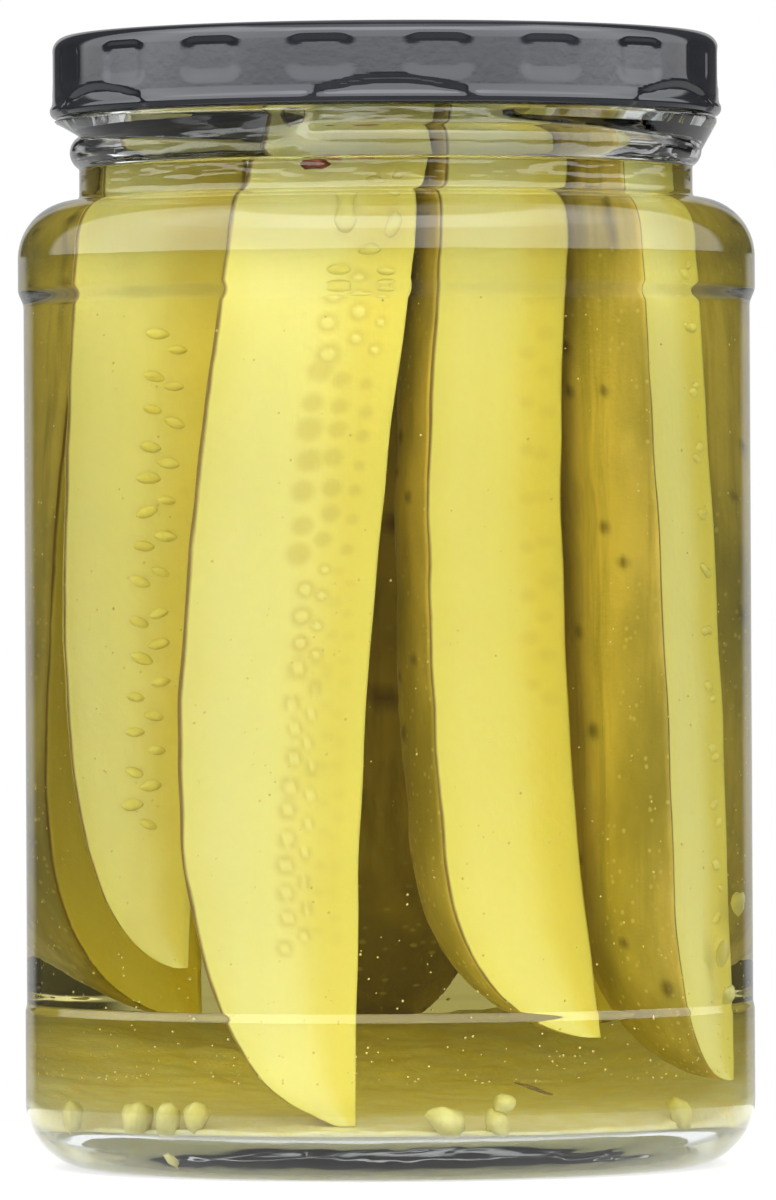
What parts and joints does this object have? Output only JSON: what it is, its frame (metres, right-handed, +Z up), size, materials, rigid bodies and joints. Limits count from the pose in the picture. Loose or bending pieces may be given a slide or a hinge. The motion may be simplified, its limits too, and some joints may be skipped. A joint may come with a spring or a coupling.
{
  "type": "pickle jar",
  "caption": "Round clear glass jar with shoulder and heel bands, shut with a steel twist-off lid, filled with cucumber spears standing in golden brine.",
  "frame": {"origin": "middle of the base, on the surface the jar stands on", "axes": "+Z up along the jar's axis, -Y towards the viewer, +X to the viewer's right"},
  "size_m": [0.095, 0.095, 0.1453],
  "materials": {
    "glass": "clear colourless soda-lime glass, faintly green at the base",
    "lid_steel": "glossy black lacquer on tinplate",
    "brine": "clear golden liquid",
    "pickle": "wet, translucent pickled cucumber flesh with an olive-brown rind"
  },
  "bodies": {
    "root": {"jar": "glass", "lid": "lid_steel", "brine": "brine", "spear_front": "pickle", "spear_left": "pickle", "spear_centre": "pickle", "spear_right": "pickle", "spear_rear_left": "pickle", "spear_rear_right": "pickle", "spear_rear": "pickle"}
  },
  "joints": []
}
